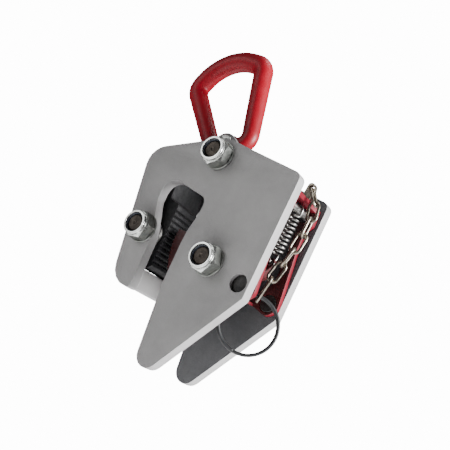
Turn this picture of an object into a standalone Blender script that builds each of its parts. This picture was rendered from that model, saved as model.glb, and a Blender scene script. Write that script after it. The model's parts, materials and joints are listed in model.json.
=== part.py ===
"""Vertical plate lifting clamp: two steel side plates, a sprung toothed cam that grips against a serrated
jaw pad, a lifting bail on a rocker, and a lock lever worked by a pull chain with a split ring.

Design numbers are in millimetres from the jaw datum: X = 0 is the cam side of the jaw slot, Z = 0 is half
way up it and Y = 0 is the middle plane. +X points to the lever, +Z to the bail. The model's own origin is
the point inside the bail's crown where a crane hook bears, and the jaw datum is an empty below it.
"""
import math

import bmesh
import bpy
from mathutils import Matrix, Vector

MM = 0.001
GAP = 0.3                       # working clearance between touching pieces

# Side plates
PLATE_T = 10.0
INSIDE = 25.0                   # half the space between the plates
OUTSIDE = INSIDE + PLATE_T

# Bolts, nuts and washers (M16)
BOLT_R = 8.0
HEX_AF = 24.0
HEAD_H = 10.0
NUT_H = 9.6
COLLAR_H = 3.8
COLLAR_R = 11.4
RECESS_R = 9.3
INSERT_T = 2.6
BOLT_SET_BACK = 2.2             # depth of the bolt's end inside the nut's collar
WASHER_BORE_R = 8.4
WASHER_R = 14.0
WASHER_T = 2.0
TOP_BOLT = (2.0, 94.5)
CAM_BOLT = (36.5, 2.0)
PAD_BOLT = (-44.5, 13.5)
BUSH_R = 11.0                   # sleeves that keep the plates apart

# Bail: a forged ring of round bar with a bored boss at its narrow end
BAIL_R = 8.4                    # the bar's radius in the legs
CROWN_BAR_R = 9.8               # and in the crown
THICKEN_FROM = 45.0             # heights above the pin between which the bar thickens
THICKEN_TO = 90.0
BAIL_LEAN = math.radians(26.5)
BAIL_PIN = (-17.0, 114.5)
BAIL_BASE = 3.0                 # the narrow end's bar, above the pin
BASE_HALF = 19.0                # half widths to the bar's centre
CROWN_HALF = 38.0
SHOULDER = 84.5
CROWN_CORNER = 112.7
CROWN_R = 45.0
BOSS_R = 13.5
BOSS_HALF_T = 8.4
PIN_R = 6.0

# Rocker: two plates that swing on the top bolt and carry the bail
LINK_IN = 8.7
LINK_OUT = 14.7
LINK_SPACER_R = 12.5
TOP_BUSH_R = 9.0
LINK_TOP_R = 15.0               # radii of a rocker plate's ends, round the bolt and round the bail pin
LINK_PIN_END_R = 12.0
PIN_HEAD_R = 9.0
PIN_HEAD_T = 2.5
PIN_TAIL = 3.5                  # length of the pin beyond the far rocker plate
CLIP_T = 1.7

# Cam and its arm
CAM_HALF_T = 17.0
ARM_HALF_T = 8.0
LUG_HALF_T = 2.0
CAM_SPACER_R = 14.0
CAM_HUB_R = 18.0
NOSE_TOP = (158.0, 64.0)        # angle in degrees and radius of the toothed edge's two ends
NOSE_END = (196.0, 54.5)
TOOTH_COUNT = 11
TOOTH_DEPTH = 1.2
ELBOW = (62.0, 14.0)            # bend of the arm that the spring pulls
SPRING_ARM = (70.0, 22.0)
HOOK_HOLE_R = 2.5

# Jaw pad
PAD_FACE = -30.0
PAD_HALF_T = 22.0
GROOVE_PITCH = 5.0
GROOVE_DEPTH = 1.5
GROOVE_TOP = 40.0
GROOVE_BOTTOM = -12.0

# Lock lever
LEVER_PIVOT = (70.5, -8.0)
CHEEK_IN = 19.2
CHEEK_OUT = 24.2
LEVER_PIN_R = 7.7
LEVER_PIN_END = 31.5
CHAIN_EYE = (80.2, 94.1)
CHAIN_EYE_R = 2.6

# Spring
SPRING_PIN = (75.0, 73.0)
SPRING_PIN_R = 3.0
SPRING_WIRE_R = 1.0
SPRING_MEAN_R = 4.6
SPRING_TURNS = 9.75

# Chain and split ring
CHAIN_WIRE_R = 1.3
CHAIN_LINKS = 7
CHAIN_PITCH = 14.9
CHAIN_SLACK = 0.9                # clearance between two links where they bear
LINK_HALF_W = 4.2
LAST_LINK_PITCH = 20.5          # the end link is longer
CHAIN_BEARINGS = [(81.2, 0.3, 92.7), (89.4, -2.3, 80.5), (92, -3.1, 65.8), (91.5, -4.5, 51),
                  (89, -5.5, 36.3),
                  (85, -6.6, 22), (80.9, -7.6, 8.1), (74.2, -4, -10.5)]
LINK_TWIST = (90, 5, 100, 20, 115, 30, 127)      # direction of each link's width, degrees about Z
RING_R = 24.6
RING_WIRE_R = 1.3
RING_PITCH = 2.7
RING_START = -80                # the wire's first end and how far it winds, in degrees
RING_SWEEP = 700
RING_SEAT = 1.6                 # how far the ring's top stands above the last link's bearing point
RING_FACING = math.radians(-53.3)                 # direction that the ring's flat side faces

PAINT_GREY = ((0.235, 0.235, 0.24), 0.45, 0.2)
PAINT_RED = ((0.42, 0.012, 0.025), 0.35, 0.1)
DARK_STEEL = ((0.035, 0.035, 0.037), 0.5, 0.7)
ZINC = ((0.62, 0.63, 0.62), 0.3, 1.0)
STEEL = ((0.45, 0.45, 0.44), 0.35, 1.0)
NYLON = ((0.03, 0.035, 0.05), 0.5, 0.0)


# ---------------------------------------------------------------- scene helpers

def clear_scene():
    for old in list(bpy.data.objects):
        bpy.data.objects.remove(old)


def new_collection(name):
    made = bpy.data.collections.new(name)
    bpy.context.scene.collection.children.link(made)
    return made


def new_material(name, finish):
    colour, roughness, metallic = finish
    made = bpy.data.materials.new(name)
    made.use_nodes = True
    shader = made.node_tree.nodes["Principled BSDF"]
    shader.inputs["Base Color"].default_value = (*colour, 1)
    shader.inputs["Roughness"].default_value = roughness
    shader.inputs["Metallic"].default_value = metallic
    return made


clear_scene()
PARTS = new_collection("plate_lifting_clamp")
CUTTERS = new_collection("cutters")
GREY = new_material("grey_paint", PAINT_GREY)
RED = new_material("red_paint", PAINT_RED)
DARK = new_material("dark_steel", DARK_STEEL)
BRIGHT = new_material("zinc_plate", ZINC)
WIRE = new_material("spring_steel", STEEL)
PLASTIC = new_material("nylon", NYLON)


def new_empty(name, x, z, parent=None, y=0.0):
    """An empty at a place in the jaw datum's millimetres."""
    made = bpy.data.objects.new(name, None)
    made.empty_display_size = 0.01
    made.location = (x * MM, y * MM, z * MM)
    made.parent = parent
    CUTTERS.objects.link(made)
    return made


def add_object(name, mesh):
    made = bpy.data.objects.new(name, mesh)
    PARTS.objects.link(made)
    return made


def finish(obj, material, pivot):
    """Gives a piece its material and puts its origin on its pivot."""
    obj.data.materials.clear()
    obj.data.materials.append(material)
    obj.data.transform(Matrix.Translation(-pivot.location))
    obj.parent = pivot
    obj.data.shade_smooth()
    obj.data.set_sharp_from_angle(angle=math.radians(32))
    return obj


def apply_modifiers(obj):
    bpy.context.view_layer.update()
    evaluated = obj.evaluated_get(bpy.context.evaluated_depsgraph_get())
    mesh = bpy.data.meshes.new_from_object(evaluated)
    obj.modifiers.clear()
    obj.data = mesh
    return obj


def combine(obj, others, operation):
    """Boolean of obj with other objects, which become hidden helpers."""
    for other in others:
        modifier = obj.modifiers.new(operation.lower() + "_" + other.name, "BOOLEAN")
        modifier.operation = operation
        modifier.solver = "EXACT"
        modifier.object = other
        PARTS.objects.unlink(other)
        CUTTERS.objects.link(other)
        other.hide_render = True
        other.display_type = "WIRE"
    return apply_modifiers(obj)


def cut(obj, *cutters):
    return combine(obj, cutters, "DIFFERENCE")


def join(obj, *others):
    return combine(obj, others, "UNION")


# ---------------------------------------------------------------- outlines

def arc(cx, cz, radius, start, end, step=15.0):
    """Points on a circle from start to end degrees."""
    count = max(2, round(abs(end - start) / step))
    angles = [math.radians(start + (end - start) * i / count) for i in range(count + 1)]
    return [(cx + radius * math.cos(a), cz + radius * math.sin(a)) for a in angles]


def rounded(corners, step=18.0):
    """A closed outline through (x, z, radius) corners, each rounded by its radius."""
    points = []
    for i, (x, z, radius) in enumerate(corners):
        here = Vector((x, z))
        before = (Vector(corners[i - 1][:2]) - here).normalized()
        after = (Vector(corners[(i + 1) % len(corners)][:2]) - here).normalized()
        if radius == 0:
            points.append((x, z))
            continue
        half = math.acos(max(-1, min(1, before.dot(after)))) / 2
        centre = here + (before + after).normalized() * (radius / math.sin(half))
        first = here + before * (radius / math.tan(half)) - centre
        turn = math.degrees(math.pi - 2 * half)
        side = 1 if before.x * after.y - before.y * after.x < 0 else -1
        start = math.degrees(math.atan2(first.y, first.x))
        points += arc(centre.x, centre.y, radius, start, start + side * turn, step)
    return points


def capsule(p, radius_p, q, radius_q, step=18.0):
    """The outline around two circles."""
    along = Vector(q) - Vector(p)
    base = math.degrees(math.atan2(along.y, along.x))
    spread = math.degrees(math.acos((radius_p - radius_q) / along.length))
    round_p = arc(p[0], p[1], radius_p, base + spread, base + 360 - spread, step)
    round_q = arc(q[0], q[1], radius_q, base - spread, base + spread, step)
    return round_p + round_q


# ---------------------------------------------------------------- solids

def poly_curve(name, points, cyclic, dimensions):
    curve = bpy.data.curves.new(name, "CURVE")
    curve.dimensions = dimensions
    spline = curve.splines.new("POLY")
    spline.points.add(len(points) - 1)
    for target, point in zip(spline.points, points):
        target.co = (*[v * MM for v in point], 1)
    spline.use_cyclic_u = cyclic
    return curve


def curve_to_mesh_object(name, curve, matrix):
    """Turns a curve into a mesh object with welded caps."""
    guide = bpy.data.objects.new(name + "_curve", curve)
    PARTS.objects.link(guide)
    bpy.context.view_layer.update()
    mesh = bpy.data.meshes.new_from_object(guide.evaluated_get(bpy.context.evaluated_depsgraph_get()))
    bpy.data.objects.remove(guide)
    work = bmesh.new()
    work.from_mesh(mesh)
    bmesh.ops.remove_doubles(work, verts=work.verts, dist=0.000005)
    bmesh.ops.recalc_face_normals(work, faces=work.faces)
    work.to_mesh(mesh)
    work.free()
    mesh.transform(matrix)
    return add_object(name, mesh)


def prism(name, outline, y0, y1):
    """A flat outline in X and Z, thick from y0 to y1."""
    curve = poly_curve(name, [(x, z, 0) for x, z in outline], True, "2D")
    curve.fill_mode = "BOTH"
    curve.extrude = abs(y1 - y0) / 2 * MM
    stand_up = Matrix.Rotation(math.pi / 2, 4, "X")
    return curve_to_mesh_object(name, curve, Matrix.Translation((0, (y0 + y1) / 2 * MM, 0)) @ stand_up)


def tube(name, points, radius, cyclic=False, sides=2, scales=None):
    """Round bar or wire along points in three dimensions. Scales, if given, vary its radius along it."""
    curve = poly_curve(name, points, cyclic, "3D")
    for point, scale in zip(curve.splines[0].points, scales or []):
        point.radius = scale
    curve.bevel_depth = radius * MM
    curve.bevel_resolution = sides
    curve.use_fill_caps = not cyclic
    return curve_to_mesh_object(name, curve, Matrix.Identity(4))


def cylinder(name, at, radius, y0, y1, vertices=24):
    """A round bar along Y at (x, z)."""
    bpy.ops.mesh.primitive_cylinder_add(vertices=vertices, radius=radius * MM, depth=abs(y1 - y0) * MM)
    made = bpy.context.object
    made.name = name
    made.data.name = name
    for owner in list(made.users_collection):
        owner.objects.unlink(made)
    PARTS.objects.link(made)
    place = Matrix.Translation((at[0] * MM, (y0 + y1) / 2 * MM, at[1] * MM))
    made.data.transform(place @ Matrix.Rotation(math.pi / 2, 4, "X"))
    return made


def ring(name, at, inner, outer, y0, y1, vertices=24):
    """A washer, bush or spacer along Y."""
    low, high = min(y0, y1), max(y0, y1)
    body = cylinder(name, at, outer, low, high, vertices)
    return cut(body, cylinder(name + "_bore", at, inner, low - 1, high + 1, vertices))


def hexagon(name, at, across_flats, y0, y1, turn=0.0):
    radius = across_flats / math.sqrt(3)
    corners = [(at[0] + radius * math.cos(math.radians(turn + 60 * i)),
                at[1] + radius * math.sin(math.radians(turn + 60 * i))) for i in range(6)]
    return prism(name, corners, y0, y1)


# ---------------------------------------------------------------- side plates

def plate_outline():
    """The outline of a side plate: a tapered body with a long toe, and the jaw slot with its wide root."""
    left_leg = [(-32.6, -40.5, 3), (-55.8, -40.5, 21), (-78.9, 89.9, 18)]
    top = [(0.8, 112.8, 10), (86.9, 92.5, 7)]
    toe = [(79.8, -19.1, 3), (7.1, -117.3, 11.5)]
    slot = [(-0.3, -25.7, 30), (0.5, 10, 20), (1.6, 22, 15), (5.6, 38, 8), (6.8, 54, 9), (-44.4, 68.7, 13),
            (-44.4, 42, 12), (-33.3, 12, 25)]
    return rounded(left_leg + top + toe + slot)


def make_side_plate(name, side):
    """One side plate, side -1 for the near one and +1 for the far one."""
    inner, outer = side * INSIDE, side * OUTSIDE
    plate = prism(name, plate_outline(), inner, outer)
    through = [cylinder(f"{name}_hole_{i}", at, BOLT_R + GAP + 0.05, inner - side, outer + side)
               for i, at in enumerate((TOP_BOLT, CAM_BOLT, PAD_BOLT))]
    lever_hole = cylinder(name + "_lever_hole", LEVER_PIVOT, LEVER_PIN_R + GAP, inner - side, outer + side)
    ends = inner - side, inner + side * 5
    blind = cylinder(name + "_spring_hole", SPRING_PIN, SPRING_PIN_R + GAP, *ends, 24)
    return finish(cut(plate, *through, lever_hole, blind), GREY, DATUM)


# ---------------------------------------------------------------- fasteners

def make_bolt(name, at):
    """A hex bolt with its head on the far side."""
    seat = OUTSIDE + 2 * GAP + WASHER_T
    head = hexagon(name, at, HEX_AF, seat, seat + HEAD_H, 12)
    end = -(seat + NUT_H + COLLAR_H - BOLT_SET_BACK)
    return finish(join(head, cylinder(name + "_shank", at, BOLT_R, end, seat + 1)), DARK, DATUM)


def make_nut(name, at, turn):
    """A lock nut on the near side: hexagon, round collar and the recess of its nylon insert."""
    seat = -(OUTSIDE + 2 * GAP + WASHER_T)
    top = seat - NUT_H - COLLAR_H
    nut = hexagon(name, at, HEX_AF, seat, seat - NUT_H, turn)
    nut = join(nut, cylinder(name + "_collar", at, COLLAR_R, seat - NUT_H + 1, top))
    thread = cylinder(name + "_thread", at, BOLT_R + GAP, seat + 1, top - 1)
    recess = cylinder(name + "_recess", at, RECESS_R + GAP, seat - NUT_H, top - 1)
    return finish(cut(nut, thread, recess), BRIGHT, DATUM)


def make_fastener_set(name, at, turn):
    """Bolt, nut, nylon insert and two washers."""
    make_bolt(name + "_bolt", at)
    make_nut(name + "_nut", at, turn)
    insert_seat = -(OUTSIDE + 3 * GAP + WASHER_T + NUT_H)
    insert = ring(name + "_nut_insert", at, BOLT_R + GAP, RECESS_R, insert_seat, insert_seat - INSERT_T)
    finish(insert, PLASTIC, DATUM)
    for end, side in (("near", -1), ("far", 1)):
        face = side * (OUTSIDE + GAP)
        washer = ring(f"{name}_washer_{end}", at, WASHER_BORE_R, WASHER_R, face, face + side * WASHER_T)
        finish(washer, BRIGHT, DATUM)


# ---------------------------------------------------------------- bail and rocker

def bail_point(across, along):
    """A point in the bail's own axes, from its pin."""
    c, s = math.cos(BAIL_LEAN), math.sin(BAIL_LEAN)
    return BAIL_PIN[0] + across * c - along * s, BAIL_PIN[1] + across * s + along * c


def bar_radius(along):
    """The bail's bar is thicker in the crown than in the legs."""
    share = max(0, min(1, (along - THICKEN_FROM) / (THICKEN_TO - THICKEN_FROM)))
    return BAIL_R + (CROWN_BAR_R - BAIL_R) * share * share * (3 - 2 * share)


def make_bail():
    right = [(BASE_HALF, BAIL_BASE, 12), (CROWN_HALF, SHOULDER, 13)]
    left = [(-x, along, radius) for x, along, radius in reversed(right)]
    outline = rounded(right + [(0, CROWN_CORNER, CROWN_R)] + left, 11)
    points = [bail_point(across, along) for across, along in outline]
    scales = [bar_radius(along) / BAIL_R for _, along in outline]
    bail = tube("bail", [(x, 0, z) for x, z in points], BAIL_R, cyclic=True, sides=4, scales=scales)
    bail = join(bail, cylinder("bail_boss", BAIL_PIN, BOSS_R, -BOSS_HALF_T, BOSS_HALF_T))
    return finish(cut(bail, cylinder("bail_bore", BAIL_PIN, PIN_R + GAP, -12, 12)), RED, BAIL_PIVOT)


def make_link_plate(name, side):
    """A rocker plate, on the top bolt's bush at one end and on the bail's pin at the other."""
    outline = capsule(TOP_BOLT, LINK_TOP_R, BAIL_PIN, LINK_PIN_END_R)
    plate = prism(name, outline, side * LINK_IN, side * LINK_OUT)
    span = side * (LINK_IN - 1), side * (LINK_OUT + 1)
    holes = [cylinder(name + "_bush_hole", TOP_BOLT, TOP_BUSH_R + GAP, *span),
             cylinder(name + "_pin_hole", BAIL_PIN, PIN_R + GAP, *span)]
    return finish(cut(plate, *holes), DARK, LINK_PIVOT)


def make_link_spacer(name, side):
    """Keeps a rocker plate in place between its side plate and the bail."""
    ends = side * (LINK_OUT + GAP), side * (INSIDE - GAP)
    spacer = ring(name, TOP_BOLT, TOP_BUSH_R + GAP, LINK_SPACER_R, *ends)
    return finish(spacer, WIRE, DATUM)


def make_bail_pin():
    """A pin with a flat head on its near end and a spring clip on its far end."""
    seat = LINK_OUT + GAP
    head = cylinder("bail_pin", BAIL_PIN, PIN_HEAD_R, -seat - PIN_HEAD_T, -seat)
    shank = cylinder("bail_pin_shank", BAIL_PIN, PIN_R, -seat - 1, LINK_OUT + PIN_TAIL)
    finish(join(head, shank), BRIGHT, LINK_PIVOT)
    clip = ring("bail_pin_clip", BAIL_PIN, PIN_R + GAP, PIN_HEAD_R, seat, seat + CLIP_T)
    finish(clip, WIRE, LINK_PIVOT)


# ---------------------------------------------------------------- cam

def cam_nose_outline():
    """The gripping edge: a spiral of teeth whose radius falls from its upper to its lower end."""
    points = []
    for i in range(2 * TOOTH_COUNT + 1):
        share = i / (2 * TOOTH_COUNT)
        angle = math.radians(NOSE_TOP[0] + share * (NOSE_END[0] - NOSE_TOP[0]))
        radius = NOSE_TOP[1] + share * (NOSE_END[1] - NOSE_TOP[1]) - (TOOTH_DEPTH if i % 2 else 0)
        points.append((CAM_BOLT[0] + radius * math.cos(angle), CAM_BOLT[1] + radius * math.sin(angle)))
    back = arc(CAM_BOLT[0], CAM_BOLT[1], CAM_HUB_R, -100, 100)
    return points + back


def make_cam():
    """The cam: its toothed nose and hub, a thinner arm behind, and a lug with the spring's hole."""
    cam = prism("cam", cam_nose_outline(), -CAM_HALF_T, CAM_HALF_T)
    arm = prism("cam_arm", capsule(CAM_BOLT, CAM_HUB_R - 6, ELBOW, 7), -ARM_HALF_T, ARM_HALF_T)
    lug = prism("cam_spring_lug", capsule(ELBOW, 6, SPRING_ARM, 4.5), -LUG_HALF_T, LUG_HALF_T)
    cam = join(cam, arm, lug)
    bore = cylinder("cam_bore", CAM_BOLT, BUSH_R + GAP, -CAM_HALF_T - 1, CAM_HALF_T + 1)
    hook_hole = cylinder("cam_hook_hole", SPRING_ARM, HOOK_HOLE_R, -4, 4, 20)
    return finish(cut(cam, bore, hook_hole), RED, CAM_PIVOT)


def make_cam_bearing():
    finish(ring("cam_bush", CAM_BOLT, BOLT_R + GAP, BUSH_R, -INSIDE + GAP, INSIDE - GAP), WIRE, DATUM)
    for name, side in (("cam_spacer_near", -1), ("cam_spacer_far", 1)):
        ends = side * (CAM_HALF_T + GAP), side * (INSIDE - GAP)
        spacer = ring(name, CAM_BOLT, BUSH_R + GAP, CAM_SPACER_R, *ends)
        finish(spacer, WIRE, DATUM)


# ---------------------------------------------------------------- jaw pad

def pad_outline():
    """The pad's gripping side is a row of flat lands between V grooves, top to bottom."""
    face = []
    z = GROOVE_TOP
    while z > GROOVE_BOTTOM:
        face += [(PAD_FACE, z + 1.1, 0), (PAD_FACE - GROOVE_DEPTH, z, 0), (PAD_FACE, z - 1.1, 0)]
        z -= GROOVE_PITCH
    lower = [(PAD_FACE, -14, 1), (-34, -17.5, 2), (-50, -17.5, 6), (-57, -7, 8)]
    upper = [(-66, 30, 20), (-73, 62, 20), (-71, 84, 9), (-44, 84, 6), (-42, 50, 3), (PAD_FACE, 47, 3)]
    return rounded(face + lower + upper)


def make_jaw_pad():
    pad = prism("jaw_pad", pad_outline(), -PAD_HALF_T, PAD_HALF_T)
    bore = cylinder("jaw_pad_bore", PAD_BOLT, BUSH_R + GAP, -PAD_HALF_T - 1, PAD_HALF_T + 1)
    finish(cut(pad, bore), DARK, PAD_PIVOT)
    finish(ring("pad_bush", PAD_BOLT, BOLT_R + GAP, BUSH_R, -INSIDE + GAP, INSIDE - GAP), WIRE, DATUM)


def make_throat_block():
    """The block welded between the tips of the plates' short arms, below the jaw pad."""
    outline = rounded([(-33.2, -39.8, 2.6), (-55.2, -39.8, 20.4), (-58.6, -19.5, 2), (-33.2, -19.5, 2)])
    finish(prism("throat_block", outline, -INSIDE + GAP, INSIDE - GAP), GREY, DATUM)


# ---------------------------------------------------------------- lock lever

def cheek_outline():
    """One side of the lever, with an open notch where the spring's anchor pin stands."""
    foot = [(53, -12.5, 3), (72, -19.5, 6), (81.2, -12, 6), (77, 46, 30), (77.6, 62, 8),
            (82.3, 68, 3), (82.3, 84.3, 2)]
    notch = [(71, 84.3, 2), (71, 77.3, 1), (79.4, 77.3, 1.5), (79.4, 68.9, 1.5), (68.5, 68.9, 1)]
    front = [(69.5, 40, 20), (68.5, 8, 12), (53, -5, 4)]
    return rounded(foot + notch + front)


def make_lock_lever():
    """The lever: two cheeks joined by a head and a foot, with an eye for the chain on top."""
    lever = prism("lock_lever", cheek_outline(), -CHEEK_OUT, -CHEEK_IN)
    far = prism("lever_far_cheek", cheek_outline(), CHEEK_IN, CHEEK_OUT)
    head = rounded([(71.5, 79.3, 0), (82, 79.3, 0), (82, 84, 1), (71.5, 84, 1)])
    lever_head = prism("lever_head", head, -CHEEK_IN - 1, CHEEK_IN + 1)
    foot = rounded([(54.2, -13.6, 0), (56.9, -14.6, 0), (56.9, -11.8, 1), (54.2, -11.8, 1)])
    lever_foot = prism("lever_foot", foot, -CHEEK_IN - 1, CHEEK_IN + 1)
    eye = rounded([(74, 84, 0), (81.8, 84, 0), (84.3, 92, 3), (83, 98.9, 4), (76.5, 98.9, 3)])
    lever_eye = prism("lever_chain_eye", eye, -LUG_HALF_T, LUG_HALF_T)
    lever = join(lever, far, lever_head, lever_foot, lever_eye)
    bore = cylinder("lever_bore", LEVER_PIVOT, LEVER_PIN_R + GAP, -30, 30)
    eye_hole = cylinder("lever_eye_hole", CHAIN_EYE, CHAIN_EYE_R, -4, 4, 24)
    return finish(cut(lever, bore, eye_hole), RED, LEVER_EMPTY)


def make_lever_pins():
    for name, side in (("lever_pin_near", -1), ("lever_pin_far", 1)):
        ends = side * (CHEEK_IN - GAP), side * LEVER_PIN_END
        finish(cylinder(name, LEVER_PIVOT, LEVER_PIN_R, *ends), DARK, DATUM)


# ---------------------------------------------------------------- spring

def make_spring():
    """A tension spring from the cam's arm to its anchor pin. The lower hook passes through the arm's lug and
    the upper one goes over the pin."""
    low, high = Vector((SPRING_ARM[0], 0, SPRING_ARM[1])), Vector((SPRING_PIN[0], 0, SPRING_PIN[1]))
    up = (high - low).normalized()
    across = Vector((0, 1, 0)).cross(up)
    length = (high - low).length
    hook_r = SPRING_PIN_R + SPRING_WIRE_R + GAP
    coil_from, coil_to = 9.5, length - 5.5
    local = []
    for degrees in range(-150, 1, 30):
        a = math.radians(degrees)
        local.append((0, hook_r * math.cos(a), hook_r + hook_r * math.sin(a)))
    steps = round(SPRING_TURNS * 10)
    for i in range(steps + 1):
        a = math.radians(90 + 360 * SPRING_TURNS * i / steps)
        height = coil_from + (coil_to - coil_from) * i / steps
        local.append((SPRING_MEAN_R * math.cos(a), SPRING_MEAN_R * math.sin(a), height))
    for degrees in range(0, 211, 30):
        a = math.radians(degrees)
        local.append((hook_r * math.cos(a), 0, length + hook_r * math.sin(a)))
    points = [low + across * u + Vector((0, v, 0)) + up * w for u, v, w in local]
    return finish(tube("cam_spring", points, SPRING_WIRE_R, sides=1), WIRE, DATUM)


# ---------------------------------------------------------------- chain and split ring

def link_path(start, end, twist):
    """The centreline of one link between its two bearing points."""
    along = (end - start).normalized()
    side = Vector((math.cos(math.radians(twist)), math.sin(math.radians(twist)), 0))
    side = (side - along * side.dot(along)).normalized()
    centre = (start + end) / 2
    straight = (end - start).length / 2 + CHAIN_WIRE_R + CHAIN_SLACK / 2 - LINK_HALF_W
    points = []
    for degrees in range(0, 181, 30):
        a = math.radians(degrees)
        ahead = straight + LINK_HALF_W * math.sin(a)
        points.append(centre + side * LINK_HALF_W * math.cos(a) + along * ahead)
    return points + [2 * centre - p for p in points]


def chain_joints():
    """Where each link bears on the one above it, from the lever's eye down to the ring."""
    joints = [Vector(CHAIN_BEARINGS[0])]
    for target in CHAIN_BEARINGS[1:]:
        last = len(joints) == CHAIN_LINKS
        step = (Vector(target) - joints[-1]).normalized()
        joints.append(joints[-1] + step * (LAST_LINK_PITCH if last else CHAIN_PITCH))
    return joints


def make_chain():
    joints = chain_joints()
    for i in range(CHAIN_LINKS):
        pivot = new_empty(f"chain_pivot_{i + 1}", joints[i].x, joints[i].z, DATUM, joints[i].y)
        path = link_path(joints[i], joints[i + 1], LINK_TWIST[i])
        finish(tube(f"chain_link_{i + 1}", path, CHAIN_WIRE_R, cyclic=True, sides=2), WIRE, pivot)
    return joints[CHAIN_LINKS - 1], joints[CHAIN_LINKS]


def make_split_ring(last_link, bearing):
    """Two turns of wire side by side, hanging from the last link."""
    pivot = new_empty("ring_pivot", bearing.x, bearing.z, DATUM, bearing.y)
    facing = Vector((math.cos(RING_FACING), math.sin(RING_FACING), 0))
    across = Vector((0, 0, 1)).cross(facing)
    along = (bearing - last_link).normalized()
    centre = bearing - along * (RING_WIRE_R + RING_SEAT) - Vector((0, 0, RING_R))
    points = []
    steps = 64
    for i in range(steps + 1):
        share = i / steps
        a = math.radians(RING_START + RING_SWEEP * share)
        shift = (share - 0.5) * RING_SWEEP / 360 * RING_PITCH
        around = across * RING_R * math.cos(a) + Vector((0, 0, RING_R * math.sin(a)))
        points.append(centre + around + facing * shift)
    return finish(tube("split_ring", points, RING_WIRE_R, sides=1), DARK, pivot)


# ---------------------------------------------------------------- assembly

CROWN_SLOPE = math.atan2(CROWN_CORNER - SHOULDER, CROWN_HALF)
CROWN_TOP = CROWN_CORNER - CROWN_R * (1 / math.cos(CROWN_SLOPE) - 1)
HOOK = bail_point(0, CROWN_TOP - CROWN_BAR_R)

DATUM = new_empty("jaw_datum", -HOOK[0], -HOOK[1])
bpy.context.view_layer.update()
DATUM_PLACE = DATUM.location.copy()
DATUM.location = (0, 0, 0)
CAM_PIVOT = new_empty("cam_pivot", *CAM_BOLT, DATUM)
BAIL_PIVOT = new_empty("bail_pivot", *BAIL_PIN, DATUM)
LINK_PIVOT = new_empty("link_pivot", *TOP_BOLT, DATUM)
PAD_PIVOT = new_empty("pad_pivot", *PAD_BOLT, DATUM)
LEVER_EMPTY = new_empty("lever_pivot", *LEVER_PIVOT, DATUM)

make_side_plate("side_plate_near", -1)
make_side_plate("side_plate_far", 1)
make_fastener_set("top", TOP_BOLT, 24)
make_fastener_set("cam", CAM_BOLT, 50)
make_fastener_set("pad", PAD_BOLT, 5)
make_bail()
make_link_plate("link_plate_near", -1)
make_link_plate("link_plate_far", 1)
make_link_spacer("link_spacer_near", -1)
make_link_spacer("link_spacer_far", 1)
make_bail_pin()
finish(ring("top_bush", TOP_BOLT, BOLT_R + GAP, TOP_BUSH_R, -INSIDE + GAP, INSIDE - GAP), WIRE, DATUM)
make_cam()
make_cam_bearing()
make_jaw_pad()
make_throat_block()
make_lock_lever()
make_lever_pins()
finish(cylinder("spring_anchor", SPRING_PIN, SPRING_PIN_R, -INSIDE - 4.5, INSIDE + 4.5, 24), WIRE, DATUM)
make_spring()
make_split_ring(*make_chain())
DATUM.location = DATUM_PLACE
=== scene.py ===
"""Looks of the plate lifting clamp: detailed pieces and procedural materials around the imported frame.

Numbers are in metres. Shared places are read from the frame's nodes and joints.
"""
import json
import math

import bmesh
import bpy
from mathutils import Matrix, Vector


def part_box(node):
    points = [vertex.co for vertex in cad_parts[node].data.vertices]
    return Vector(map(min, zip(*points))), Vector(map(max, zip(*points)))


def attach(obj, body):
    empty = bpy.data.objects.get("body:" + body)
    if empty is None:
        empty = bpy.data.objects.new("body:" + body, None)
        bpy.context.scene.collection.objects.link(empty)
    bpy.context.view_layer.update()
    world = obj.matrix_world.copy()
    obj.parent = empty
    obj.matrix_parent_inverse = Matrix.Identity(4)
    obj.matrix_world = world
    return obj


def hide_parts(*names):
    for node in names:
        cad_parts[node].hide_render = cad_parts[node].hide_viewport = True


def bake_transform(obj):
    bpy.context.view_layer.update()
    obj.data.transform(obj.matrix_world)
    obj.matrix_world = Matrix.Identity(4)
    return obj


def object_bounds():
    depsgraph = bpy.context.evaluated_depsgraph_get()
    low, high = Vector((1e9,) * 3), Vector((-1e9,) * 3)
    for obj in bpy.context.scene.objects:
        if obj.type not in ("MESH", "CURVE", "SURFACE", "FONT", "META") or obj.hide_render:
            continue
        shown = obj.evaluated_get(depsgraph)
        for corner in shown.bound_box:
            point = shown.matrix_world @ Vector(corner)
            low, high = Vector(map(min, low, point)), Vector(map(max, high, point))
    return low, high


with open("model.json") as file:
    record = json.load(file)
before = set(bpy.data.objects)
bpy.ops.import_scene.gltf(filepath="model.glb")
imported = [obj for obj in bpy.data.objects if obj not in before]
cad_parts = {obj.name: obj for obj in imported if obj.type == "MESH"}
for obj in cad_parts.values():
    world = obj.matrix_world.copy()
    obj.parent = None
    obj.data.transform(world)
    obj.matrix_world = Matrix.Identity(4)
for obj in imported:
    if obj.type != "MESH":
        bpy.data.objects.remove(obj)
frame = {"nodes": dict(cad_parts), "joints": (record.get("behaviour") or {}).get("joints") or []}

CAD_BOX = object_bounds()
MM = 0.001
JOINTS = {joint["name"]: joint for joint in frame["joints"]}


# ---------------------------------------------------------------- places

def pivot(joint):
    return Vector(JOINTS[joint]["pos_m"])


def middle(node):
    low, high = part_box(node)
    return (low + high) / 2


# ---------------------------------------------------------------- materials

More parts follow.
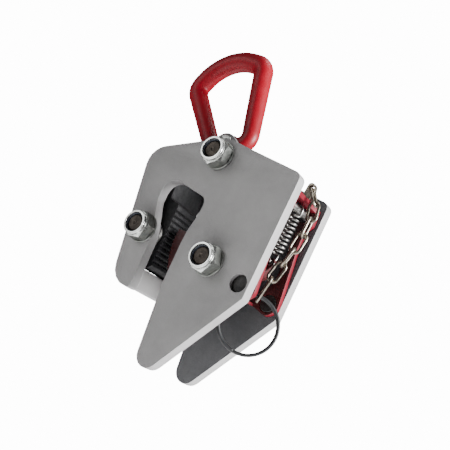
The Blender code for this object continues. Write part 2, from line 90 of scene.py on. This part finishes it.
class Nodes:
    """A material's node tree, with short calls for the nodes used here."""

    def __init__(self, name):
        self.material = bpy.data.materials.new(name)
        self.material.use_nodes = True
        self.tree = self.material.node_tree
        self.shader = self.tree.nodes["Principled BSDF"]
        self.coordinates = self.tree.nodes.new("ShaderNodeTexCoord").outputs["Object"]

    def link(self, source, target):
        self.tree.links.new(source, target)

    def noise(self, scale, detail=4.0, roughness=0.6, stretch=(1, 1, 1)):
        mapping = self.tree.nodes.new("ShaderNodeMapping")
        mapping.inputs["Scale"].default_value = stretch
        self.link(self.coordinates, mapping.inputs["Vector"])
        made = self.tree.nodes.new("ShaderNodeTexNoise")
        made.inputs["Scale"].default_value = scale
        made.inputs["Detail"].default_value = detail
        made.inputs["Roughness"].default_value = roughness
        self.link(mapping.outputs["Vector"], made.inputs["Vector"])
        return made.outputs["Fac"]

    def ramp(self, value, stops):
        """Colours, or grey levels, at positions along a value."""
        made = self.tree.nodes.new("ShaderNodeValToRGB")
        elements = made.color_ramp.elements
        while len(elements) < len(stops):
            elements.new(0.5)
        for element, (position, colour) in zip(elements, stops):
            element.position = position
            element.color = (colour,) * 3 + (1,) if isinstance(colour, float) else (*colour, 1)
        self.link(value, made.inputs["Fac"])
        return made.outputs["Color"]

    def mix(self, factor, first, second, mode="MIX"):
        made = self.tree.nodes.new("ShaderNodeMix")
        made.data_type = "RGBA"
        made.blend_type = mode
        for socket, value in zip((made.inputs["Factor"], made.inputs["A"], made.inputs["B"]),
                                 (factor, first, second)):
            self.put(socket, value)
        return self.output(made)

    def put(self, socket, value):
        if isinstance(value, bpy.types.NodeSocket):
            self.link(value, socket)
        elif isinstance(value, tuple):
            socket.default_value = (*value, 1)
        else:
            socket.default_value = value

    @staticmethod
    def output(node):
        return next(socket for socket in node.outputs if socket.enabled)

    def bump(self, heights):
        """Chains bumps of (height, distance in metres, strength)."""
        normal = None
        for height, distance, strength in heights:
            made = self.tree.nodes.new("ShaderNodeBump")
            made.inputs["Distance"].default_value = distance
            made.inputs["Strength"].default_value = strength
            self.link(height, made.inputs["Height"])
            if normal:
                self.link(normal, made.inputs["Normal"])
            normal = made.outputs["Normal"]
        self.link(normal, self.shader.inputs["Normal"])

    def set(self, **values):
        for name, value in values.items():
            self.put(self.shader.inputs[name.replace("_", " ").title().replace("Ior", "IOR")], value)


def paint(name, dark, light, bare, roughness, chips, coat=0.0, peel=0.35, shine=0.5):
    """Sprayed paint: drift of colour, fine speckle, orange peel, scratches and a few chips to metal."""
    made = Nodes(name)
    drift = made.noise(22, 3)
    speckle = made.noise(1500, 2)
    scratch = made.noise(95, 6, 0.7, (1.0, 1.0, 14.0))
    chip = made.noise(260, 5, 0.65)
    base = made.ramp(drift, [(0.3, dark), (0.7, light)])
    base = made.mix(0.3, base, made.ramp(speckle, [(0.35, dark), (0.65, light)]))
    base = made.mix(made.ramp(scratch, [(0.66, 0.0), (0.70, 0.35)]), base, light)
    wear = made.ramp(chip, [(1 - chips, 0.0), (1.02 - chips, 1.0)])
    made.set(Base_Color=made.mix(wear, base, bare), Coat_Weight=coat, Coat_Roughness=0.2)
    made.shader.inputs["Specular IOR Level"].default_value = shine
    low, high = roughness
    made.set(Roughness=made.ramp(made.noise(140, 4), [(0.3, low), (0.7, high)]), Metallic=0.0)
    made.bump([(made.noise(700, 2), 0.00006, peel), (wear, 0.00008, 0.5), (scratch, 0.00004, 0.2)])
    return made.material


def metal(name, dark, light, roughness, metallic=1.0, grain=0.3, stretch=(1, 1, 1), scale=420):
    """Bare or plated steel: blotches, fine grain and uneven polish."""
    made = Nodes(name)
    blotch = made.noise(75, 4)
    fine = made.noise(scale, 5, 0.65, stretch)
    base = made.ramp(blotch, [(0.3, dark), (0.72, light)])
    base = made.mix(0.3, base, made.ramp(fine, [(0.35, dark), (0.7, light)]))
    low, high = roughness
    made.set(Base_Color=base, Metallic=metallic)
    made.set(Roughness=made.ramp(made.noise(230, 4), [(0.3, low), (0.7, high)]))
    made.bump([(fine, 0.00006, grain), (blotch, 0.0001, 0.15)])
    return made.material


def make_materials():
    return {
        "plate": paint("grey_paint", (0.21, 0.205, 0.208), (0.28, 0.275, 0.275), (0.36, 0.35, 0.34),
                       (0.38, 0.55), 0.17),
        # near black paint for the plates' inner faces: painted shade between the plates
        "plate_inside_painted_shade": paint("grey_paint_inside_painted_shade", (0.035, 0.036, 0.04), (0.085, 0.085, 0.09),
                              (0.15, 0.14, 0.13), (0.5, 0.7), 0.3),
        "plate_edge": paint("grey_paint_edge", (0.22, 0.22, 0.225), (0.36, 0.36, 0.36), (0.5, 0.49, 0.47),
                            (0.32, 0.5), 0.38),
        "red": paint("red_paint", (0.15, 0.0, 0.004), (0.25, 0.001, 0.01), (0.1, 0.004, 0.008),
                     (0.4, 0.55), 0.15, coat=0.05, shine=0.25),
        # lever red darker than the bail's red: painted shade over the whole lever
        "lever_red_painted_shade": paint("shaded_lever_red_paint", (0.07, 0.0, 0.004), (0.14, 0.001, 0.01), (0.05, 0.006, 0.006),
                           (0.4, 0.55), 0.25, shine=0.3),
        "red_edge": paint("red_paint_edge", (0.12, 0.001, 0.008), (0.22, 0.003, 0.014), (0.1, 0.015, 0.015),
                          (0.35, 0.5), 0.25, shine=0.35),
        # near black red for the cam and for the lever's inner faces: painted shade inside the clamp
        "cam_red_painted_shade": paint("shaded_cam_red_paint", (0.02, 0.001, 0.001), (0.055, 0.002, 0.003), (0.02, 0.01, 0.008),
                         (0.4, 0.6), 0.3),
        "teeth": metal("cam_tooth_steel", (0.09, 0.085, 0.08), (0.3, 0.29, 0.28), (0.3, 0.5)),
        "dark": metal("black_oxide", (0.016, 0.016, 0.017), (0.05, 0.048, 0.045), (0.35, 0.6), 0.75, 0.5),
        "pad": metal("pad_forging", (0.003, 0.003, 0.004), (0.012, 0.012, 0.013), (0.55, 0.8), 0.4, 1.0,
                     scale=260),
        "zinc": metal("zinc_plate", (0.5, 0.52, 0.5), (0.8, 0.81, 0.79), (0.18, 0.36), 1.0, 0.2),
        # darker zinc for the nut flats and the washers: painted shade and painted reflection
        "zinc_dull_painted_shade": metal("dull_zinc_painted_shade", (0.1, 0.105, 0.1), (0.3, 0.31, 0.29), (0.3, 0.5), 0.9, 0.3),
        "forged": metal("scaled_forging", (0.09, 0.088, 0.09), (0.2, 0.195, 0.195), (0.4, 0.6), 0.35, 0.5),
        "bolt_end": metal("browned_bolt_end", (0.02, 0.016, 0.013), (0.075, 0.06, 0.048), (0.4, 0.65),
                          0.6, 0.8),
        "spring": metal("drawn_spring_steel", (0.2, 0.2, 0.195), (0.42, 0.41, 0.39), (0.25, 0.42),
                        1.0, 0.2),
        "chain": metal("chain_steel", (0.12, 0.105, 0.085), (0.36, 0.32, 0.26), (0.25, 0.45), 1.0, 0.3),
        "turned": metal("turned_steel", (0.28, 0.28, 0.27), (0.5, 0.49, 0.47), (0.25, 0.45), 1.0, 0.3,
                        (1, 12, 1)),
        "ring": metal("blued_ring_steel", (0.006, 0.0065, 0.007), (0.024, 0.025, 0.027), (0.4, 0.55),
                      0.5, 0.2),
        "nylon": metal("nylon_insert", (0.02, 0.024, 0.034), (0.045, 0.05, 0.065), (0.45, 0.6), 0.0, 0.4),
    }


MATERIALS = make_materials()


# ---------------------------------------------------------------- mesh helpers

def place(name, mesh, material, body, slot, *nodes, edge=None):
    """Adds a piece: its mesh, materials, body, material slot (not used), and the CAD nodes it stands for."""
    made = bpy.data.objects.new(name, mesh)
    bpy.context.scene.collection.objects.link(made)
    mesh.materials.clear()
    mesh.materials.append(MATERIALS[material])
    if edge:
        mesh.materials.append(MATERIALS[edge])
    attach(made, body)
    if nodes:
        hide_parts(*nodes)
    return made


def smooth(mesh, degrees=32):
    mesh.shade_smooth()
    mesh.set_sharp_from_angle(angle=math.radians(degrees))


def baked(made):
    """Applies an object's modifiers."""
    bpy.context.view_layer.update()
    mesh = bpy.data.meshes.new_from_object(made.evaluated_get(bpy.context.evaluated_depsgraph_get()))
    made.modifiers.clear()
    made.data = mesh
    return made


def tidy_mesh(node):
    """A copy of a CAD node's mesh with its flat faces merged, ready to have its edges rounded."""
    mesh = frame["nodes"][node].data.copy()
    work = bmesh.new()
    work.from_mesh(mesh)
    bmesh.ops.remove_doubles(work, verts=work.verts, dist=2e-6)
    bmesh.ops.dissolve_limit(work, angle_limit=math.radians(1.0), verts=work.verts, edges=work.edges)
    bmesh.ops.recalc_face_normals(work, faces=work.faces)
    work.to_mesh(mesh)
    work.free()
    return mesh


def softened(node, material, body, slot, width, segments=3, edge=None, angle=40):
    """A CAD node remade with rounded edges, which can have a worn material of their own."""
    made = place(node + "_detailed", tidy_mesh(node), material, body, slot, node, edge=edge)
    bevel = made.modifiers.new("rounded_edges", "BEVEL")
    bevel.width = width
    bevel.segments = segments
    bevel.limit_method = "ANGLE"
    bevel.angle_limit = math.radians(angle)
    bevel.use_clamp_overlap = True
    bevel.material = 1 if edge else -1
    baked(made)
    smooth(made.data, 35)
    return made


def finished(work, name):
    """Turns a closed bmesh into a mesh whose faces point outwards."""
    bmesh.ops.recalc_face_normals(work, faces=work.faces)
    mesh = bpy.data.meshes.new(name)
    work.to_mesh(mesh)
    work.free()
    return mesh


def tube_mesh(name, points, radius, closed, sides=16):
    """Round bar along points, with round ends where it is open. The radius can be one for each point."""
    work = bmesh.new()
    count = len(points)
    radii = radius if isinstance(radius, list) else [radius] * count
    rings = []
    normal = None
    for i, point in enumerate(points):
        ahead = points[(i + 1) % count] if closed or i < count - 1 else point
        behind = points[i - 1] if closed or i > 0 else point
        along = (ahead - behind).normalized()
        if normal is None:
            normal = along.orthogonal().normalized()
        normal = (normal - along * normal.dot(along)).normalized()
        rings.append((point, normal.copy(), along.cross(normal), along))
    turns = 0.0
    if closed:
        first = rings[0]
        last = rings[-1][1] - first[3] * rings[-1][1].dot(first[3])
        turns = math.atan2(last.dot(first[2]), last.dot(first[1]))
    loops = []
    for i, (point, first, second, _) in enumerate(rings):
        twist = -turns * i / count
        loops.append([work.verts.new(point + radii[i] * (first * math.cos(a) + second * math.sin(a)))
                      for a in (2 * math.pi * k / sides + twist for k in range(sides))])
    pairs = list(zip(loops, loops[1:])) + ([(loops[-1], loops[0])] if closed else [])
    for low, high in pairs:
        for k in range(sides):
            work.faces.new((low[k], low[(k + 1) % sides], high[(k + 1) % sides], high[k]))
    if not closed:
        for loop, (point, _, _, along), sign in ((loops[0], rings[0], -1), (loops[-1], rings[-1], 1)):
            tip = work.verts.new(point + along * sign * radii[0] * 0.6)
            for k in range(sides):
                work.faces.new((loop[k], loop[(k + 1) % sides], tip))
    mesh = finished(work, name)
    mesh.shade_smooth()
    return mesh


def turned_mesh(name, centre, profile, steps=64):
    """A closed profile of (radius, y) turned about a line along Y through centre."""
    work = bmesh.new()
    loops = []
    for i in range(steps):
        a = 2 * math.pi * i / steps
        loops.append([work.verts.new((centre.x + r * math.cos(a), y, centre.z + r * math.sin(a)))
                      for r, y in profile])
    for low, high in zip(loops, loops[1:] + loops[:1]):
        for k in range(len(profile)):
            work.faces.new((low[k], low[k - 1], high[k - 1], high[k]))
    bmesh.ops.remove_doubles(work, verts=work.verts, dist=1e-6)
    mesh = finished(work, name)
    smooth(mesh, 40)
    return mesh


def scratch_object(mesh):
    made = bpy.data.objects.new("scratch", mesh)
    bpy.context.scene.collection.objects.link(made)
    return made


def boolean(made, mesh, operation):
    """Cuts, joins or intersects a piece with a mesh, which is then removed."""
    tool = scratch_object(mesh)
    modifier = made.modifiers.new(operation, "BOOLEAN")
    modifier.operation = operation
    modifier.solver = "EXACT"
    modifier.object = tool
    baked(made)
    bpy.data.objects.remove(tool)
    return made


def hex_mesh(name, centre, flats, y0, y1, turn):
    work = bmesh.new()
    radius = flats / math.sqrt(3)
    ends = []
    for y in (y0, y1):
        ends.append([work.verts.new((centre.x + radius * math.cos(math.radians(turn + 60 * k)), y,
                                     centre.z + radius * math.sin(math.radians(turn + 60 * k))))
                     for k in range(6)])
    work.faces.new(ends[0])
    work.faces.new(ends[1])
    for k in range(6):
        work.faces.new((ends[0][k], ends[0][k - 1], ends[1][k - 1], ends[1][k]))
    return finished(work, name)


# ---------------------------------------------------------------- fasteners

HEX_FLATS = 24.0 * MM
COLLAR_RADIUS = 11.4 * MM
THREAD_RADIUS = 8.0 * MM
THREAD_PITCH = 2.0 * MM
THREAD_DEPTH = 0.7 * MM
THREADED_LENGTH = 9 * MM
CLEARANCE = 0.3 * MM
COLLAR_HEIGHT = 3.8 * MM
COLLAR_LIP = 0.8 * MM
COLLAR_BORE, COLLAR_MOUTH = 9.1 * MM, 9.8 * MM
INSERT_RADIUS = 8.8 * MM
HEAD_HEIGHT = 10 * MM
WASHER_BORE, WASHER_RADIUS, WASHER_CUT = 8.4 * MM, 14.0 * MM, 0.35 * MM


def chamfer_cone(centre, face, back, flats):
    """A turned envelope that gives a hexagon the round chamfer of a forged nut at its face."""
    corner = flats / math.sqrt(3)
    side = 1 if back > face else -1
    run = corner + 1 * MM
    drop = (run - flats / 2 + 0.3 * MM) * math.tan(math.radians(30))
    top, bottom = face + side * drop, back + side * MM
    return turned_mesh("cone", centre, [(0.0, face), (flats / 2 - 0.3 * MM, face), (run, top), (run, bottom),
                                        (0.0, bottom)])


def make_nut(name, turn):
    """A lock nut: chamfered hexagon and a round collar rolled in over the nylon insert."""
    low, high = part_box(name)
    centre = (low + high) / 2
    shoulder = low.y + COLLAR_HEIGHT
    nut = place(name + "_detailed", hex_mesh("hex", centre, HEX_FLATS, shoulder - MM, high.y, turn), "zinc",
                "frame", "zinc_plate", name)
    boolean(nut, chamfer_cone(centre, shoulder, high.y, HEX_FLATS), "INTERSECT")
    lip, inner, top = COLLAR_LIP, 8.9 * MM, shoulder + 2 * MM
    collar = [(inner, top), (COLLAR_RADIUS, top), (COLLAR_RADIUS, low.y + lip)]
    for k in range(1, 6):
        a = math.radians(15 * k)
        collar.append((COLLAR_RADIUS - lip * (1 - math.cos(a)), low.y + lip * (1 - math.sin(a))))
    collar += [(COLLAR_RADIUS - lip, low.y), (inner, low.y)]
    boolean(nut, turned_mesh("collar", centre, collar), "UNION")
    thread = THREAD_RADIUS + CLEARANCE
    bore = [(0.0, low.y - MM), (COLLAR_MOUTH, low.y - MM), (COLLAR_BORE, low.y + 0.7 * MM),
            (COLLAR_BORE, shoulder - 0.2 * MM), (thread, shoulder + 1.2 * MM), (thread, high.y + MM),
            (0.0, high.y + MM)]
    boolean(nut, turned_mesh("bore", centre, bore), "DIFFERENCE")
    smooth(nut.data, 25)
    # the hex flats take the darker zinc: painted shade and painted reflection
    nut.data.materials.append(MATERIALS["zinc_dull_painted_shade"])
    for face in nut.data.polygons:
        if abs(face.normal.y) < 0.55 and face.center.y > shoulder - MM:
            face.material_index = 1
    return nut


def make_insert(name):
    low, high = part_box(name)
    centre = (low + high) / 2
    inner, outer = THREAD_RADIUS + CLEARANCE, INSERT_RADIUS
    profile = [(inner, high.y), (outer, high.y), (outer, low.y + 0.3 * MM), (outer - 0.3 * MM, low.y),
               (inner + 0.4 * MM, low.y), (inner, low.y + 0.5 * MM)]
    return place(name + "_detailed", turned_mesh(name, centre, profile), "nylon", "frame", "nylon", name)


def thread_profile(end, length):
    """Radii along a threaded bolt end, as parallel grooves, from its chamfered tip."""
    points = [(THREAD_RADIUS - 1.4 * MM, end), (THREAD_RADIUS - 0.4 * MM, end + 0.9 * MM)]
    y = end + 1.2 * MM
    while y < end + length:
        points += [(THREAD_RADIUS, y), (THREAD_RADIUS - THREAD_DEPTH, y + THREAD_PITCH / 2)]
        y += THREAD_PITCH
    return points + [(THREAD_RADIUS, y)]


def make_bolt(name):
    """A hex bolt: forged head with a washer face, plain shank and a threaded, drilled-centre end."""
    low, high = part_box(name)
    centre = (low + high) / 2
    seat = high.y - HEAD_HEIGHT
    bolt = place(name + "_detailed", hex_mesh("hex", centre, HEX_FLATS, seat, high.y + MM, 12), "dark",
                 "frame", "dark_steel", name)
    boolean(bolt, chamfer_cone(centre, high.y, seat, HEX_FLATS), "INTERSECT")
    dimple = [(0.0, low.y + 0.9 * MM), (1.2 * MM, low.y + 0.7 * MM), (2.0 * MM, low.y)]
    shank = dimple + thread_profile(low.y, THREADED_LENGTH) + [(THREAD_RADIUS, seat + MM), (0.0, seat + MM)]
    boolean(bolt, turned_mesh("shank", centre, shank, 48), "UNION")
    smooth(bolt.data, 28)
    bolt.data.materials.append(MATERIALS["bolt_end"])
    for face in bolt.data.polygons:
        if face.center.y < low.y + THREADED_LENGTH:
            face.material_index = 1
    return bolt


def make_washer(name):
    low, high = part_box(name)
    centre = (low + high) / 2
    inner, outer, cut = WASHER_BORE, WASHER_RADIUS, WASHER_CUT
    profile = [(inner, low.y), (outer - cut, low.y), (outer, low.y + cut), (outer, high.y - cut),
               (outer - cut, high.y), (inner, high.y)]
    mesh = turned_mesh(name, centre, profile)
    # the washers take the darker zinc as well: painted shade
    return place(name + "_detailed", mesh, "zinc_dull_painted_shade", "frame", "zinc_plate", name)


def make_fasteners():
    for name, turn in (("top", 24), ("cam", 50), ("pad", 5)):
        make_nut(name + "_nut", turn)
        make_insert(name + "_nut_insert")
        make_bolt(name + "_bolt")
        make_washer(name + "_washer_near")
        make_washer(name + "_washer_far")


# ---------------------------------------------------------------- bail

BAR_RADIUS = 8.4 * MM
CROWN_BAR_RADIUS = 9.8 * MM
THICKEN_FROM, THICKEN_TO = 45.0 * MM, 90.0 * MM    # heights above the pin between which the bar thickens
BOSS_HALF_WIDTH, BOSS_RADIUS, BOSS_CUT = 8.4 * MM, 13.5 * MM, 1.6 * MM
PIN_BORE, PIN_BORE_REACH = 6.3 * MM, 12 * MM
BAIL_LEAN = math.radians(26.5)
BAIL_CORNERS = [(19.0, 3.0, 12.0), (38.0, 84.5, 13.0), (0.0, 112.7, 45.0), (-38.0, 84.5, 13.0),
                (-19.0, 3.0, 12.0)]             # across, along and rounding in mm, in the bail's own axes


def rounded_outline(corners, step=4.0):
    """A closed outline through (x, z, radius) corners, with each corner an arc."""
    points = []
    for i, (x, z, radius) in enumerate(corners):
        here = Vector((x, z))
        before = (Vector(corners[i - 1][:2]) - here).normalized()
        after = (Vector(corners[(i + 1) % len(corners)][:2]) - here).normalized()
        half = math.acos(max(-1, min(1, before.dot(after)))) / 2
        centre = here + (before + after).normalized() * (radius / math.sin(half))
        first = here + before * (radius / math.tan(half)) - centre
        turn = math.pi - 2 * half
        side = 1 if before.x * after.y - before.y * after.x < 0 else -1
        count = max(3, round(math.degrees(turn) / step))
        start = math.atan2(first.y, first.x)
        for k in range(count + 1):
            a = start + side * turn * k / count
            points.append(centre + radius * Vector((math.cos(a), math.sin(a))))
    return points


def bar_radius(height):
    """The bail's bar is thicker in the crown than in the legs."""
    share = max(0, min(1, (height - THICKEN_FROM) / (THICKEN_TO - THICKEN_FROM)))
    return BAR_RADIUS + (CROWN_BAR_RADIUS - BAR_RADIUS) * share * share * (3 - 2 * share)


def make_bail():
    pin = pivot("bail_swing")
    c, s = math.cos(BAIL_LEAN), math.sin(BAIL_LEAN)
    outline = rounded_outline(BAIL_CORNERS)
    points = [pin + Vector((p.x * c - p.y * s, 0, p.x * s + p.y * c)) * MM for p in outline]
    radii = [bar_radius(p.y * MM) for p in outline]
    bar = tube_mesh("bail", points, radii, True, 40)
    bail = place("bail_detailed", bar, "red", "bail", "red_paint", "bail")
    half, outer, cut = BOSS_HALF_WIDTH, BOSS_RADIUS, BOSS_CUT
    boss = [(0.0, -half), (outer - cut, -half), (outer - cut * 0.3, -half + cut * 0.3),
            (outer, -half + cut), (outer, half - cut), (outer - cut * 0.3, half - cut * 0.3),
            (outer - cut, half), (0.0, half)]
    boolean(bail, turned_mesh("boss", pin, boss), "UNION")
    bore = [(0.0, -PIN_BORE_REACH), (PIN_BORE, -PIN_BORE_REACH), (PIN_BORE, PIN_BORE_REACH),
            (0.0, PIN_BORE_REACH)]
    boolean(bail, turned_mesh("bore", pin, bore), "DIFFERENCE")
    smooth(bail.data, 30)
    return bail


# ---------------------------------------------------------------- chain, ring and spring

WIRE_RADIUS = 1.3 * MM
LINK_HALF_WIDTH = 4.2 * MM
LINK_SLACK = 0.9 * MM
LINK_TWIST = (90, 5, 100, 20, 115, 30, 127)
RING_WIRE = 1.5 * MM
RING_RADIUS = 24.6 * MM
RING_PITCH = 2.7 * MM
RING_SEAT = 1.4 * MM
RING_FACING = math.radians(-53.3)
RING_START, RING_SWEEP = -80, 700               # where the wire starts and how far it winds, in degrees
RING_STEPS = 220


def link_path(start, end, twist):
    """The centreline of a link between the points where it bears on its neighbours."""
    along = (end - start).normalized()
    side = Vector((math.cos(math.radians(twist)), math.sin(math.radians(twist)), 0))
    side = (side - along * side.dot(along)).normalized()
    centre = (start + end) / 2
    straight = (end - start).length / 2 + WIRE_RADIUS + LINK_SLACK / 2 - LINK_HALF_WIDTH
    points = []
    for k in range(13):
        a = math.pi * k / 12
        points.append(centre + side * LINK_HALF_WIDTH * math.cos(a)
                      + along * (straight + LINK_HALF_WIDTH * math.sin(a)))
    half = points + [points[-1] - along * straight * 0.66, points[-1] - along * straight * 1.33]
    return half + [2 * centre - p for p in half]


def make_chain():
    links = len(LINK_TWIST)
    bearings = [pivot(f"chain_swing_{i + 1}") for i in range(links)] + [pivot("ring_swing")]
    for i, twist in enumerate(LINK_TWIST):
        points = link_path(bearings[i], bearings[i + 1], twist)
        name = f"chain_link_{i + 1}"
        link = place(name + "_detailed", tube_mesh(name, points, WIRE_RADIUS, True, 14), "chain",
                     f"chain_{i + 1}", "spring_steel", name)
        weld = points[0]
        seam = [weld + (points[0] - points[1]).normalized() * d * MM for d in (-1.2, -0.6, 0, 0.6, 1.2)]
        add_weld(link, seam)


def add_weld(link, seam):
    """A low, uneven bead where a link's wire is closed."""
    for vertex in link.data.vertices:
        nearest = min((vertex.co - point).length for point in seam)
        if nearest < WIRE_RADIUS * 1.6:
            centre = min(seam, key=lambda point: (vertex.co - point).length)
            vertex.co += (vertex.co - centre).normalized() * 0.1 * MM


def make_split_ring():
    """Two turns of wire side by side, with a step where each end tucks in."""
    bearing = pivot("ring_swing")
    facing = Vector((math.cos(RING_FACING), math.sin(RING_FACING), 0))
    across = Vector((0, 0, 1)).cross(facing)
    along = (bearing - pivot("chain_swing_7")).normalized()
    centre = bearing - along * (RING_WIRE + RING_SEAT) - Vector((0, 0, RING_RADIUS))
    points = []
    for i in range(RING_STEPS + 1):
        share = i / RING_STEPS
        a = math.radians(RING_START + RING_SWEEP * share)
        shift = (share - 0.5) * RING_SWEEP / 360 * RING_PITCH
        around = across * RING_RADIUS * math.cos(a) + Vector((0, 0, RING_RADIUS * math.sin(a)))
        points.append(centre + around + facing * shift)
    return place("split_ring_detailed", tube_mesh("split_ring", points, RING_WIRE, False, 14), "ring",
                 "split_ring", "dark_steel", "split_ring")


SPRING_WIRE = 1.0 * MM
COIL_RADIUS = 4.6 * MM
COIL_TURNS = 9.75
HOOK_RADIUS = 4.3 * MM
COIL_ABOVE_HOLE, COIL_BELOW_ANCHOR = 9.5 * MM, 5.5 * MM
ARM_HOLE = Vector((33.5, 0.0, 20.0)) * MM       # the cam arm's spring hole, from the cam's pivot


def make_spring():
    """The cam's closing spring: hook, coil and hook as one wire, made once in place; it does not stretch as
    the cam opens.
    """
    low = pivot("cam_turn") + ARM_HOLE
    high = middle("spring_anchor")
    up = (high - low).normalized()
    across = Vector((0, 1, 0)).cross(up)
    length = (high - low).length
    local = []
    for degrees in range(-150, 1, 10):
        a = math.radians(degrees)
        local.append((0, HOOK_RADIUS * math.cos(a), HOOK_RADIUS + HOOK_RADIUS * math.sin(a)))
    coil_from, coil_to = COIL_ABOVE_HOLE, length - COIL_BELOW_ANCHOR
    steps = round(COIL_TURNS * 28)
    for i in range(steps + 1):
        a = math.radians(90 + 360 * COIL_TURNS * i / steps)
        height = coil_from + (coil_to - coil_from) * i / steps
        local.append((COIL_RADIUS * math.cos(a), COIL_RADIUS * math.sin(a), height))
    for degrees in range(0, 211, 10):
        a = math.radians(degrees)
        local.append((HOOK_RADIUS * math.cos(a), 0, length + HOOK_RADIUS * math.sin(a)))
    points = [low + across * u + Vector((0, v, 0)) + up * w for u, v, w in local]
    wire = tube_mesh("cam_spring", points, SPRING_WIRE, False, 12)
    made = bpy.data.objects.new("cam_spring_detailed", wire)
    bpy.context.scene.collection.objects.link(made)
    made.data.materials.append(MATERIALS["spring"])
    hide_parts("cam_spring")
    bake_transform(made)
    return made


# ---------------------------------------------------------------- pieces that keep their CAD shape

def make_plates():
    for name in ("side_plate_near", "side_plate_far"):
        plate = softened(name, "plate", "frame", "grey_paint", 1.3 * MM, 3, "plate_edge")
        plate.data.materials.append(MATERIALS["plate_inside_painted_shade"])
        inward = -1 if middle(name).y > 0 else 1
        # faces looking into the gap between the plates get the near black paint: painted shade
        for face in plate.data.polygons:
            if face.normal.y * inward > 0.9:
                face.material_index = 2


TOOTH_REACH = 50 * MM           # cam faces further than this from the pivot are the teeth
WORN_EYE_HEIGHT = 14.5 * MM     # the lever's bare stretch, down from its top


def make_cam():
    """The cam: red body darkened almost to black as painted shade, with bare steel where the teeth bite."""
    cam = softened("cam", "cam_red_painted_shade", "cam", "red_paint", 0.35 * MM, 2, "teeth")
    centre = pivot("cam_turn")
    for face in cam.data.polygons:
        offset = face.center - centre
        if offset.x < 0 and Vector((offset.x, offset.z)).length > TOOTH_REACH and abs(face.normal.y) < 0.7:
            face.material_index = 1
    return cam


def make_lever():
    """The lock lever: red darkened all over as painted shade, near black painted shade between its cheeks,
    and worn bare at the chain's eye.
    """
    lever = softened("lock_lever", "lever_red_painted_shade", "lock_lever", "red_paint", 0.6 * MM, 2, "red_edge")
    lever.data.materials.append(MATERIALS["cam_red_painted_shade"])
    lever.data.materials.append(MATERIALS["chain"])
    worn_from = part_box("lock_lever")[1].z - WORN_EYE_HEIGHT
    for face in lever.data.polygons:
        # the inner faces of the cheeks get the near black red: painted shade between the cheeks
        if face.center.y * face.normal.y < 0 and abs(face.normal.y) > 0.9:
            face.material_index = 2
        if face.center.z > worn_from:
            face.material_index = 3


def make_others():
    softened("jaw_pad", "pad", "jaw_pad", "dark_steel", 0.5 * MM, 2)
    softened("throat_block", "plate", "frame", "grey_paint", 1.2 * MM, 3, "plate_edge")
    for name in ("link_plate_near", "link_plate_far"):
        softened(name, "forged", "rocker", "dark_steel", 0.7 * MM, 2)
    softened("bail_pin", "zinc", "rocker", "zinc_plate", 0.5 * MM, 2)
    softened("bail_pin_clip", "spring", "rocker", "spring_steel", 0.3 * MM, 2)
    for name in ("lever_pin_near", "lever_pin_far"):
        softened(name, "dark", "frame", "dark_steel", 0.8 * MM, 3)
    for name in ("spring_anchor", "top_bush", "cam_bush", "pad_bush", "link_spacer_near", "link_spacer_far",
                 "cam_spacer_near", "cam_spacer_far"):
        softened(name, "turned", "frame", "spring_steel", 0.4 * MM, 2)


# ---------------------------------------------------------------- stage

CAMERA_PLACE = Vector((0.4385, -0.4973, -0.2841))
CAMERA_RIGHT = Vector((0.7859, 0.4829, 0.3863))  # directions of the picture's right side and top
CAMERA_UP = Vector((-0.2028, -0.3890, 0.8987))
CAMERA_LENS = 56.8
FLOOR_HALF_SIZE = 1.0
FLOOR_DROP = 0.45
LIT_STRENGTH = 0.12             # of the white background, as it lights the clamp and as the camera sees it
SEEN_STRENGTH = 14.0
LIGHT_TARGET = (0.06, 0, -0.14)


def make_camera():
    """Looks up at the clamp from beside the lever, rolled so that the clamp leans in the picture."""
    data = bpy.data.cameras.new("camera")
    data.lens = CAMERA_LENS
    data.sensor_width = 36.0
    camera = bpy.data.objects.new("camera", data)
    back = CAMERA_RIGHT.cross(CAMERA_UP)
    turn = Matrix((CAMERA_RIGHT, CAMERA_UP, back)).transposed()
    camera.matrix_world = Matrix.Translation(CAMERA_PLACE) @ turn.to_4x4()
    bpy.context.scene.collection.objects.link(camera)
    bpy.context.scene.camera = camera


def make_floor():
    mesh = bpy.data.meshes.new("floor")
    size, height = FLOOR_HALF_SIZE, CAD_BOX[0][2] - FLOOR_DROP
    corners = (-size, -size), (size, -size), (size, size), (-size, size)
    work = bmesh.new()
    work.faces.new([work.verts.new((x, y, height)) for x, y in corners])
    work.to_mesh(mesh)
    work.free()
    floor = bpy.data.objects.new("floor", mesh)
    bpy.context.scene.collection.objects.link(floor)
    pale = Nodes("pale_floor")
    pale.set(Base_Color=(0.9, 0.9, 0.9), Roughness=0.9, Emission_Color=(1.0, 1.0, 1.0),
             Emission_Strength=1.5)
    mesh.materials.append(pale.material)


def make_light(name, place_at, size, power):
    data = bpy.data.lights.new(name, "AREA")
    data.size = size
    data.energy = power
    lamp = bpy.data.objects.new(name, data)
    lamp.location = place_at
    lamp.rotation_euler = (Vector(LIGHT_TARGET) - Vector(place_at)).to_track_quat("-Z", "Y").to_euler()
    bpy.context.scene.collection.objects.link(lamp)


def make_lights():
    world = bpy.data.worlds.new("studio")
    world.use_nodes = True
    tree = world.node_tree
    background = tree.nodes["Background"]
    background.inputs["Color"].default_value = (1, 1, 1, 1)
    rays = tree.nodes.new("ShaderNodeLightPath")
    strength = tree.nodes.new("ShaderNodeMapRange")
    strength.inputs["To Min"].default_value = LIT_STRENGTH
    strength.inputs["To Max"].default_value = SEEN_STRENGTH
    tree.links.new(rays.outputs["Is Camera Ray"], strength.inputs["Value"])
    tree.links.new(strength.outputs["Result"], background.inputs["Strength"])
    bpy.context.scene.world = world
    make_light("key", (1.1, 0.16, 0.05), 0.5, 62)
    make_light("front", (-0.65, -1.1, 0.2), 0.8, 6)
    make_light("top", (0.25, 0.1, 1.0), 0.5, 7)


make_camera()
make_lights()
make_floor()
make_plates()
make_fasteners()
make_bail()
make_cam()
make_lever()
make_others()
make_chain()
make_split_ring()
make_spring()
